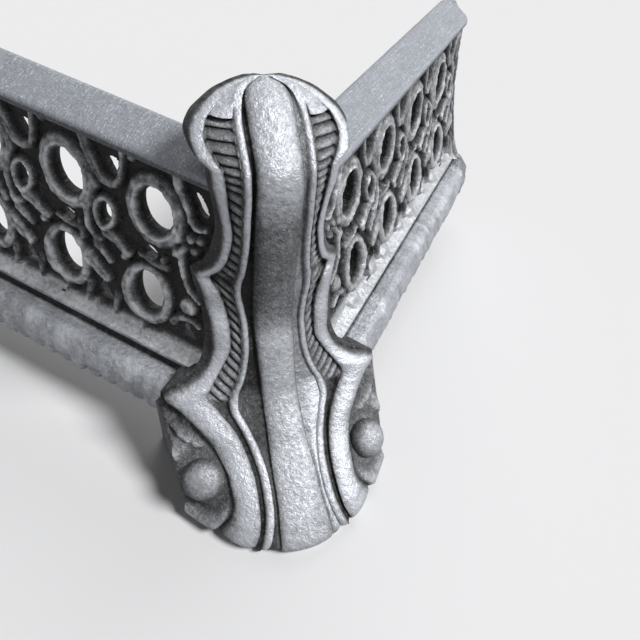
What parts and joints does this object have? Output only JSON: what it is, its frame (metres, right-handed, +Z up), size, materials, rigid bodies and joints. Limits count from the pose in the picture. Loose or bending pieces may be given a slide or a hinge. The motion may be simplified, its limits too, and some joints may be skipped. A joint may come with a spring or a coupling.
{
  "type": "fire fender",
  "caption": "U-shaped cast-iron hearth fender: pierced galleries under flat rails, rolled base skirts and scrolled S-shaped corner posts, standing on the posts and small rear feet.",
  "frame": {"origin": "centre of the footprint, on the floor", "axes": "+X to the right along the front as seen from the room, -Y out of the front into the room, +Z up"},
  "size_m": [1.294, 0.372, 0.205],
  "materials": {
    "gallery_iron": "rough cast iron, graphite rubbed, dark in the hollows and bright on the raised rings",
    "rail_iron": "worn bright flat rail with fine rubbing marks",
    "skirt_iron": "silver-grey rubbed moulding with a dark underside",
    "post_iron": "silver-grey rubbed casting, dark in the flutes and grooves",
    "foot_iron": "plain dark cast iron",
    "fixing_iron": "blackened iron fixings"
  },
  "bodies": {
    "root": {"front_gallery": "gallery_iron", "left_gallery": "gallery_iron", "right_gallery": "gallery_iron", "front_rail": "rail_iron", "left_rail": "rail_iron", "right_rail": "rail_iron", "front_skirt": "skirt_iron", "left_skirt": "skirt_iron", "right_skirt": "skirt_iron", "left_corner_post": "post_iron", "right_corner_post": "post_iron", "left_rear_foot": "foot_iron", "right_rear_foot": "foot_iron", "corner_bolts": "fixing_iron", "corner_washers": "fixing_iron", "corner_nuts": "fixing_iron", "rail_screws": "fixing_iron", "base_bolts": "fixing_iron", "base_nuts": "fixing_iron", "rear_foot_bolts": "fixing_iron"}
  },
  "joints": []
}
